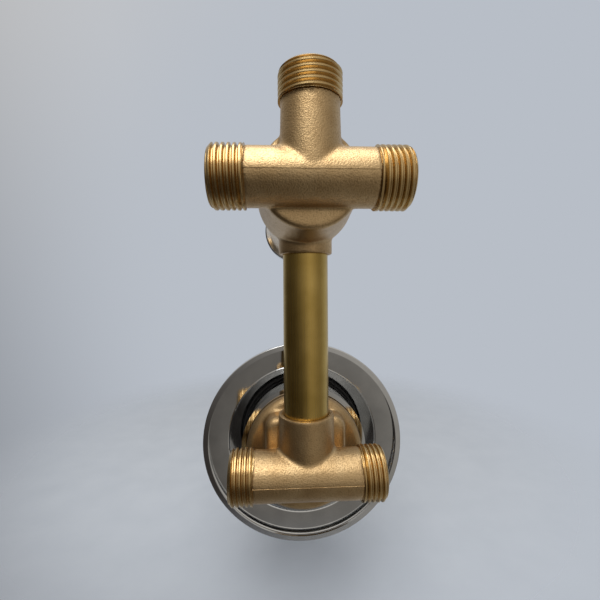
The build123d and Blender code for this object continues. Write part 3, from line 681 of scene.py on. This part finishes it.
# Pieces
class VALVE_OT_castings(bpy.types.Operator):
    """Builds the mixer and diverter castings, cut back to their shoulders, with mould flash"""

    bl_idname = "valve.castings"
    bl_label = "Castings"

    def execute(self, context):
        casting = context.scene.valve_casting
        reach = context.scene.valve_thread.outer_radius * 1.02
        self.add_mixer(casting, reach)
        self.add_diverter(casting, reach)
        return {"FINISHED"}

    def add_mixer(self, casting, reach):
        boss_half_width, boss_front, boss_back = 17 * mm, 12.6 * mm, 18.6 * mm
        mixer = node_copy("mixer_body")
        for way in (left, right):
            cut_spigot(mixer, inlet_axis, way, barrel_end, reach)
        mixer = remeshed(mixer, "mixer_casting", casting)
        step_at_parting(mixer, casting, inlet_axis)
        edge = inlet_axis + back * barrel_radius
        half_flash = barrel_end - 0.4 * mm
        add_flash(mixer, casting, edge + left * half_flash, edge + right * half_flash, back, 1.0)
        for way in (left, right):
            front = way * boss_half_width + back * boss_front
            rear = way * boss_half_width + back * boss_back
            add_flash(mixer, casting, front, rear, way, 2.0 + way.x)
        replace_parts(to_object(mixer, "mixer_casting", "cast_brass"), "mixer_body")

    def add_diverter(self, casting, reach):
        hub_front, front_radius = 28.4 * mm, 19.03 * mm
        hub_rear, rear_radius = 49 * mm, 17.35 * mm
        diverter = node_copy("diverter_body")
        for way in (left, right):
            cut_spigot(diverter, outlet_axis, way, barrel_end, reach)
        cut_spigot(diverter, outlet_axis, up, neck_end, reach)
        diverter = remeshed(diverter, "diverter_casting", casting)
        step_at_parting(diverter, casting, outlet_axis)
        for way in (left, right):
            front = way * front_radius + back * hub_front + up * diverter_z
            rear = way * rear_radius + back * hub_rear + up * diverter_z
            add_flash(diverter, casting, front, rear, way, 9.0 + way.x)
        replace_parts(to_object(diverter, "diverter_casting", "cast_brass"), "diverter_body")


class VALVE_OT_threads(bpy.types.Operator):
    """Builds the five male pipe threads"""

    bl_idname = "valve.threads"
    bl_label = "Threads"

    def execute(self, context):
        thread = context.scene.valve_thread
        places = (
            ("hot_thread", inlet_axis, left, barrel_end, inlet_thread, "mixer_body"),
            ("cold_thread", inlet_axis, right, barrel_end, inlet_thread, "mixer_body"),
            ("left_outlet_thread", outlet_axis, left, barrel_end, outlet_thread, "diverter_body"),
            ("right_outlet_thread", outlet_axis, right, barrel_end, outlet_thread, "diverter_body"),
            ("top_outlet_thread", outlet_axis, up, neck_end, top_thread, "diverter_body"),
        )
        for name, axis_point, direction, shoulder, length, node in places:
            bm = thread_mesh(thread, axis_point + direction * shoulder, direction, length)
            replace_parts(to_object(bm, name, "machined_brass", sharp=50), node)
        return {"FINISHED"}


class VALVE_OT_trim(bpy.types.Operator):
    """Gives the chromed trim its plate"""

    bl_idname = "valve.trim"
    bl_label = "Chrome trim"

    def execute(self, context):
        coat(("escutcheon", "mixer_sleeve", "lever_handle", "diverter_knob", "knob_cap"), "chrome")
        coat(("handle_plug",), "plug_plastic")
        return {"FINISHED"}


class VALVE_OT_riser(bpy.types.Operator):
    """Gives the riser pipe its drawn brass"""

    bl_idname = "valve.riser"
    bl_label = "Riser pipe"

    def execute(self, context):
        coat(("riser_pipe",), "drawn_brass")
        return {"FINISHED"}


class VALVE_OT_cartridges(bpy.types.Operator):
    """Gives the pieces of both cartridges their materials"""

    bl_idname = "valve.cartridges"
    bl_label = "Cartridges"

    def execute(self, context):
        coat(("mixer_fixed_disc", "mixer_moving_disc"), "ceramic")
        coat(("diverter_fixed_disc", "diverter_moving_disc"), "ceramic")
        coat(("mixer_cartridge_base", "mixer_cartridge_housing"), "cartridge_plastic")
        coat(("mixer_disc_carrier", "mixer_rotor"), "cartridge_plastic")
        coat(("mixer_port_seals", "sleeve_o_ring", "escutcheon_o_ring", "bonnet_o_ring"), "rubber")
        coat(("diverter_seat_gasket", "spindle_o_rings"), "rubber")
        coat(("mixer_cartridge_nut", "mixer_lever_stem"), "machined_brass")
        coat(("diverter_bonnet", "diverter_spindle", "diverter_sleeve"), "machined_brass")
        coat(("mixer_pivot_pin", "handle_set_screw", "spindle_circlip", "knob_screw"), "steel")
        return {"FINISHED"}


class VALVE_OT_stage(bpy.types.Operator):
    """Sets up the floor, the lights, the world and the camera"""

    bl_idname = "valve.stage"
    bl_label = "Stage"

    def execute(self, context):
        stage = context.scene.valve_stage
        self.add_floor(context, stage)
        self.add_light(context, stage)
        self.add_world(context, stage)
        self.add_camera(context)
        context.scene.view_settings.view_transform = "Standard"
        return {"FINISHED"}

    def add_floor(self, context, stage):
        bm = bmesh.new()
        middle = (0, stage.floor_y, cad_box[0][2] - stage.floor_gap)
        bmesh.ops.create_circle(bm, cap_ends=True, segments=96, radius=stage.floor_radius)
        bmesh.ops.translate(bm, verts=bm.verts, vec=middle)
        mesh = bpy.data.meshes.new("floor")
        bm.to_mesh(mesh)
        bm.free()
        mesh.materials.append(make_paper(stage))
        floor = bpy.data.objects.new("floor", mesh)
        context.scene.collection.objects.link(floor)

    def add_light(self, context, stage):
        light = bpy.data.lights.new("key_light", "AREA")
        light.shape = "RECTANGLE"
        light.size = 0.36
        light.size_y = 0.70
        light.energy = stage.key_power
        lamp = bpy.data.objects.new("key_light", light)
        lamp.location = (0.04, 0.19, 0.60)
        lamp.rotation_mode = "QUATERNION"
        aim = Vector((0, 0.05, 0.10)) - lamp.location
        lamp.rotation_quaternion = aim.to_track_quat("-Z", "Y")
        context.scene.collection.objects.link(lamp)

    def add_world(self, context, stage):
        # A pale backdrop behind the valve, in a room that is light high up, grey to the right
        # and dark to the left
        world = bpy.data.worlds.new("studio")
        world.use_nodes = True
        context.scene.world = world
        tree = world.node_tree
        tree.nodes.clear()
        soft = {"interpolation_type": "SMOOTHSTEP"}
        ray = add(tree, "TexCoord").outputs["Generated"]
        behind = add(tree, "VectorMath", {0: ray, 1: (-0.35, -0.94, 0)}, operation="DOT_PRODUCT")
        fade = {"Value": behind.outputs["Value"], "From Min": 0.05, "From Max": 0.85}
        backdrop = add(tree, "MapRange", fade, **soft)
        above = add(tree, "VectorMath", {0: ray, 1: (-0.3, 0, 0.95)}, operation="DOT_PRODUCT")
        rise = {"Value": above.outputs["Value"], "From Min": -0.45, "From Max": 0.4}
        lit = add(tree, "MapRange", rise, **soft)
        sideways = add(tree, "SeparateXYZ", {"Vector": ray})
        across = add(tree, "Math", {0: sideways}, operation="ABSOLUTE")
        shade = {"Value": across, "From Min": 0.35, "From Max": 0.95, "To Min": 1.0, "To Max": 0.3}
        flag = add(tree, "MapRange", shade)
        height = add(tree, "Math", {0: lit, 1: flag}, operation="MULTIPLY")
        turn = {"Value": sideways, "From Min": 0.12, "From Max": -0.25}
        to_right = add(tree, "MapRange", turn, **soft)
        wall = add(tree, "Math", {0: to_right, 1: flag}, operation="MULTIPLY")
        low = add(tree, "Mix", {0: wall, 6: stage.low_room, 7: stage.side_room}, data_type="RGBA")
        tones = {0: height, 6: low.outputs[2], 7: stage.high_room}
        room = add(tree, "Mix", tones, data_type="RGBA")
        layers = {0: backdrop, 6: room.outputs[2], 7: stage.backdrop}
        colour = add(tree, "Mix", layers, data_type="RGBA")
        studio = add(tree, "Background", {"Color": colour.outputs[2], "Strength": 1.0})
        add(tree, "OutputWorld", {"Surface": studio})

    def add_camera(self, context):
        data = bpy.data.cameras.new("camera")
        data.sensor_width = 36
        data.lens = 22.16
        data.shift_x = -0.005
        data.shift_y = -0.0233
        data.clip_start = 0.005
        camera = bpy.data.objects.new("camera", data)
        look = Vector((-0.05460, -0.99851, 0.00161)).to_track_quat("-Z", "Y")
        camera.location = (0.00917, 0.17517, 0.07384)
        camera.rotation_mode = "QUATERNION"
        camera.rotation_quaternion = look @ Quaternion((0, 0, 1), radians(-0.343))
        context.scene.collection.objects.link(camera)
        context.scene.camera = camera


class VALVE_PT_sidebar(bpy.types.Panel):
    """Lists the valve's steps and settings"""

    bl_label = "Valve"
    bl_idname = "VALVE_PT_sidebar"
    bl_space_type = "VIEW_3D"
    bl_region_type = "UI"
    bl_category = "Valve"

    def draw(self, context):
        for step in steps:
            self.layout.operator(step.bl_idname)
        for group_name in groups:
            group = getattr(context.scene, group_name)
            box = self.layout.box()
            for name in group.__annotations__:
                box.prop(group, name)


steps = (
    VALVE_OT_castings,
    VALVE_OT_threads,
    VALVE_OT_trim,
    VALVE_OT_riser,
    VALVE_OT_cartridges,
    VALVE_OT_stage,
)
groups = {
    "valve_thread": ValveThread,
    "valve_casting": ValveCasting,
    "valve_finish": ValveFinish,
    "valve_stage": ValveStage,
}


def register():
    for name, group in groups.items():
        bpy.utils.register_class(group)
        setattr(bpy.types.Scene, name, PointerProperty(type=group))
    for step in (*steps, VALVE_PT_sidebar):
        bpy.utils.register_class(step)


def unregister():
    for step in (VALVE_PT_sidebar, *reversed(steps)):
        bpy.utils.unregister_class(step)
    for name, group in groups.items():
        delattr(bpy.types.Scene, name)
        bpy.utils.unregister_class(group)


def main():
    register()
    bpy.ops.valve.castings()
    bpy.ops.valve.threads()
    bpy.ops.valve.trim()
    bpy.ops.valve.riser()
    bpy.ops.valve.cartridges()
    bpy.ops.valve.stage()


if __name__ == "__main__":
    main()
